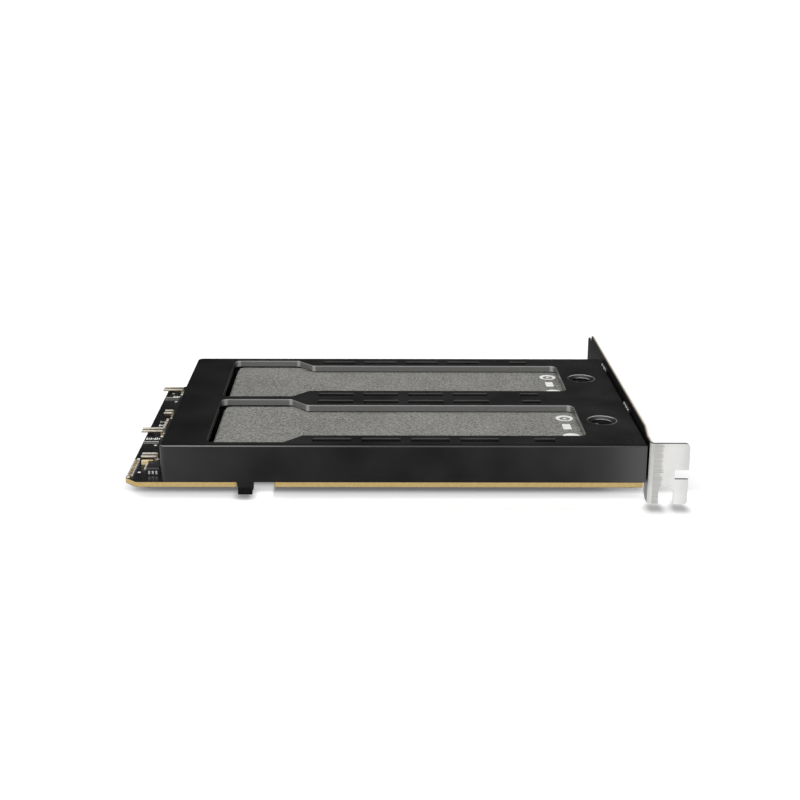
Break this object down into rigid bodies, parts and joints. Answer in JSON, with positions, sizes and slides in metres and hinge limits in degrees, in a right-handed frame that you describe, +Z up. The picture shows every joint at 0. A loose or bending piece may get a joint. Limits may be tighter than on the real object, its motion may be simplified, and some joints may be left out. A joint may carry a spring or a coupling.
{
  "type": "nvme adapter card",
  "caption": "Full-height expansion card that takes solid-state drives in slide-out trays with levers, under a windowed black cover with cooling slots.",
  "frame": {"origin": "corner line of the slot bracket's outer face and its tab's outer face, level with the board's component surface", "axes": "+X out through the slot bracket, +Y from the tab towards the edge connector, +Z up from the component side"},
  "size_m": [0.1641, 0.12, 0.02],
  "materials": {
    "board_mask": "black solder mask, satin",
    "gold_plating": "gold plated",
    "insert_steel": "plain",
    "bracket_steel": "zinc plated sheet",
    "screw_steel": "plain",
    "cover_plastic": "fine moulded grain",
    "socket_plastic": "plain",
    "spring_steel": "plain",
    "chip_plastic": "plain",
    "tinned_leads": "tinned",
    "ceramic": "ceramic bodies with tinned ends",
    "inductor_casing": "pressed powder",
    "bulk_casing": "moulded",
    "tray_aluminium": "blasted, anodised grey",
    "bezel_aluminium": "blasted, anodised grey",
    "pad_rubber": "soft silicone",
    "lever_plastic": "fine moulded grain"
  },
  "bodies": {
    "card": {"board": "board_mask", "edge_contacts": "gold_plating", "board_inserts": "insert_steel", "bracket": "bracket_steel", "bracket_screws": "screw_steel", "cover": "cover_plastic", "cover_screws": "screw_steel", "drive_socket_front": "socket_plastic", "drive_socket_back": "socket_plastic", "earthing_spring_front": "spring_steel", "earthing_spring_back": "spring_steel", "header_pins_1": "gold_plating", "header_pins_2": "gold_plating", "header_pins_3": "gold_plating", "header_pins_4": "gold_plating", "header_carrier_1": "socket_plastic", "header_carrier_2": "socket_plastic", "header_carrier_3": "socket_plastic", "header_carrier_4": "socket_plastic", "strip_chip": "chip_plastic", "strip_chip_leads": "tinned_leads", "strip_block": "chip_plastic", "strip_parts": "ceramic", "coupling_parts": "ceramic", "inductor": "inductor_casing", "regulator": "chip_plastic", "bulk_parts": "bulk_casing"},
    "front_tray": {"tray_base_front": "tray_aluminium", "tray_lid_front": "tray_aluminium", "thermal_pad_front": "pad_rubber", "drive_screw_front": "screw_steel", "tray_bezel_front": "bezel_aluminium", "bezel_screws_front": "screw_steel", "lever_pin_front": "screw_steel", "lock_screw_front": "screw_steel"},
    "front_lever": {"lever_front": "lever_plastic"},
    "back_tray": {"tray_base_back": "tray_aluminium", "tray_lid_back": "tray_aluminium", "thermal_pad_back": "pad_rubber", "drive_screw_back": "screw_steel", "tray_bezel_back": "bezel_aluminium", "bezel_screws_back": "screw_steel", "lever_pin_back": "screw_steel", "lock_screw_back": "screw_steel"},
    "back_lever": {"lever_back": "lever_plastic"}
  },
  "joints": [
    {"name": "front_tray_slide", "type": "slide", "parent": "card", "child": "front_tray", "axis": [1, 0, 0], "range_m": [0, 0.11]},
    {"name": "front_lever_hinge", "type": "hinge", "parent": "front_tray", "child": "front_lever", "pos_m": [-0.0016, 0.00962, 0.0059], "axis": [0, 0, -1], "range_deg": [0, 80]},
    {"name": "back_tray_slide", "type": "slide", "parent": "card", "child": "back_tray", "axis": [1, 0, 0], "range_m": [0, 0.11]},
    {"name": "back_lever_hinge", "type": "hinge", "parent": "back_tray", "child": "back_lever", "pos_m": [-0.0016, 0.05357, 0.0059], "axis": [0, 0, -1], "range_deg": [0, 80]}
  ]
}
